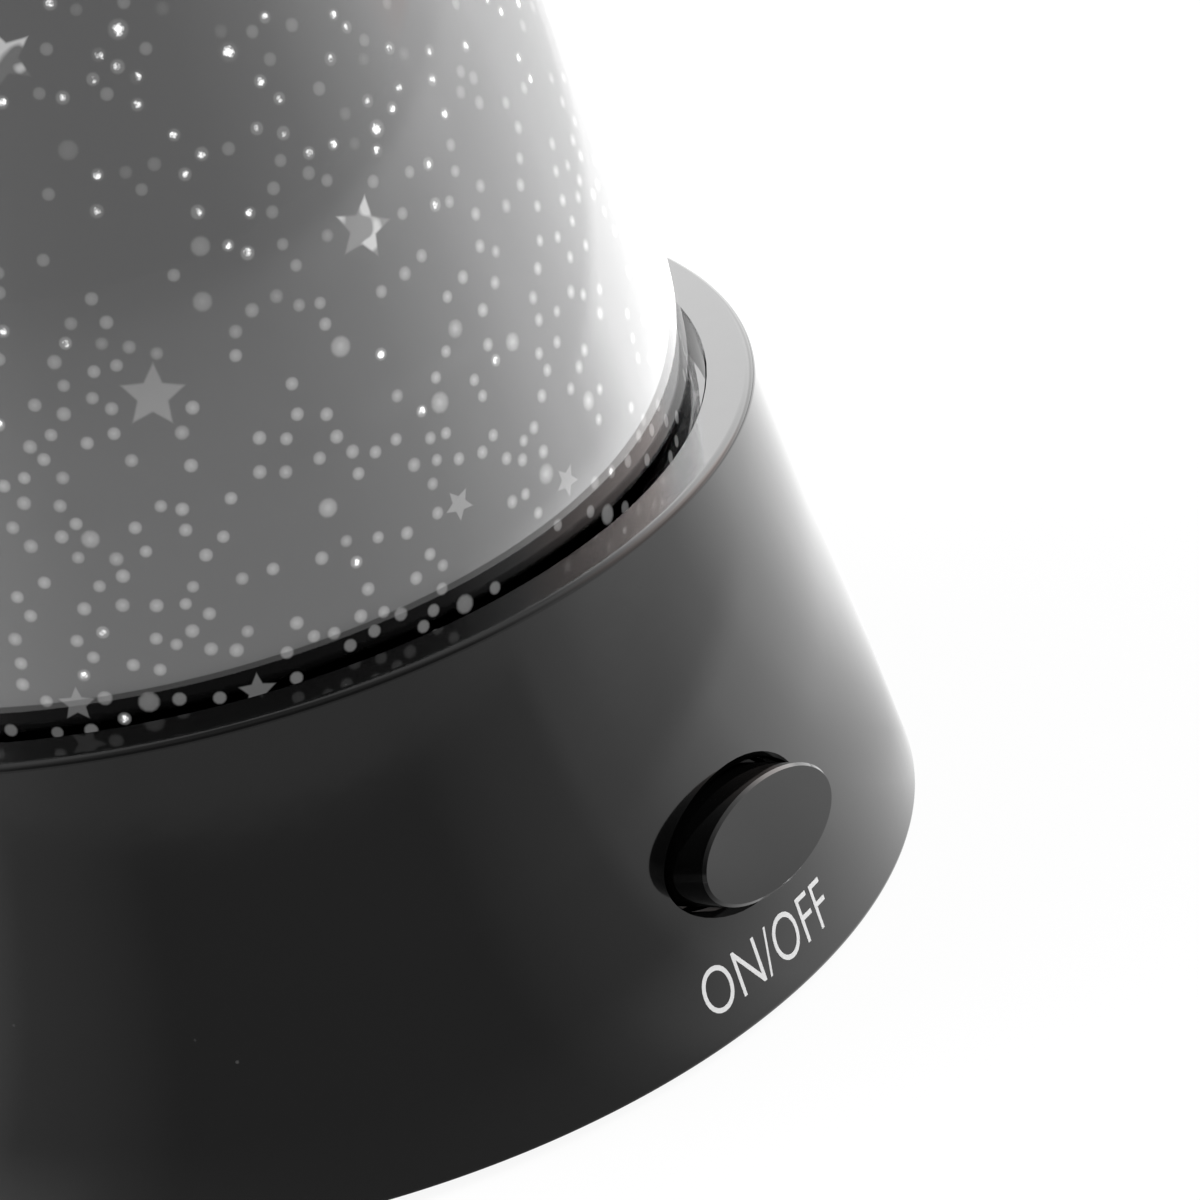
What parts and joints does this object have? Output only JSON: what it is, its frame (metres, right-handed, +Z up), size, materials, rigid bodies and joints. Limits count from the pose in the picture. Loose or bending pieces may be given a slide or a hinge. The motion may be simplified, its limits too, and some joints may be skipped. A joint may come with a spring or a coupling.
{
  "type": "star night light projector",
  "caption": "Night light with a smoked star dome that lifts off a conical base, push buttons, lamp post with diodes and a battery box.",
  "frame": {"origin": "centre of the base at the height of the table, under the rubber feet", "axes": "+Z up through the dome, -Y towards the on and off button, +Y towards the power inlet"},
  "size_m": [0.1118, 0.1133, 0.1253],
  "materials": {
    "black_housing": "polished black moulding",
    "smoked_dome": "smoked mirror gloss with clear dots and stars",
    "button_cap": "fine satin dark grey",
    "satin_black": "satin black moulding",
    "circuit_board": "green solder mask",
    "led_warm": "water clear epoxy, warm white",
    "led_red": "tinted epoxy",
    "led_green": "tinted epoxy",
    "led_blue": "tinted epoxy",
    "component_black": "moulded component body",
    "connector_white": "nylon connector",
    "plunger_white": "nylon",
    "lead_jacket": "flexible insulation",
    "cell_sleeve": "plain shrink sleeve with bare metal ends",
    "plated_contact": "nickel plated",
    "screw_steel": "zinc plated",
    "foot_rubber": "soft matt rubber"
  },
  "bodies": {
    "base": {"base_housing": "black_housing", "battery_leads": "lead_jacket", "board_screws": "screw_steel", "bottom_cover": "black_housing", "capacitor": "component_black", "cell_1": "cell_sleeve", "cell_2": "cell_sleeve", "cell_3": "cell_sleeve", "cell_4": "cell_sleeve", "cell_springs": "plated_contact", "colour_lead": "lead_jacket", "colour_switch": "component_black", "colour_switch_board": "circuit_board", "control_chip": "component_black", "flat_contacts": "plated_contact", "foot_front_left": "foot_rubber", "foot_front_right": "foot_rubber", "foot_rear_left": "foot_rubber", "foot_rear_right": "foot_rubber", "housing_screws": "screw_steel", "inlet_pin": "plated_contact", "lamp_board": "circuit_board", "lamp_lead": "lead_jacket", "lamp_post": "satin_black", "lamp_socket": "connector_white", "led_blue": "led_blue", "led_green": "led_green", "led_red": "led_red", "led_warm_white": "led_warm", "main_board": "circuit_board", "on_off_lead": "lead_jacket", "on_off_switch": "component_black", "on_off_switch_board": "circuit_board", "post_screws": "screw_steel", "power_inlet": "component_black", "spring_plates": "plated_contact", "switch_screws": "screw_steel", "timer_lead": "lead_jacket", "timer_switch": "component_black", "timer_switch_board": "circuit_board"},
    "dome": {"star_dome": "smoked_dome"},
    "battery_door": {"battery_door": "black_housing"},
    "on_off_button": {"on_off_button": "button_cap", "on_off_plunger": "plunger_white"},
    "colour_button": {"colour_button": "button_cap", "colour_plunger": "plunger_white"},
    "timer_button": {"timer_button": "button_cap", "timer_plunger": "plunger_white"}
  },
  "joints": [
    {"name": "dome_lift", "type": "slide", "parent": "base", "child": "dome", "axis": [0, 0, 1], "range_m": [0, 0.05]},
    {"name": "on_off_press", "type": "slide", "parent": "base", "child": "on_off_button", "axis": [0, 0.9885, -0.1513], "range_m": [0, 0.0015], "stiffness_N_per_m": 300, "springref_m": -0.001},
    {"name": "colour_press", "type": "slide", "parent": "base", "child": "colour_button", "axis": [-0.8561, -0.4942, -0.1513], "range_m": [0, 0.0015], "stiffness_N_per_m": 300, "springref_m": -0.001},
    {"name": "timer_press", "type": "slide", "parent": "base", "child": "timer_button", "axis": [0.8561, -0.4942, -0.1513], "range_m": [0, 0.0015], "stiffness_N_per_m": 300, "springref_m": -0.001},
    {"name": "door_slide", "type": "slide", "parent": "base", "child": "battery_door", "axis": [0, 1, 0], "range_m": [0, 0.007]}
  ]
}
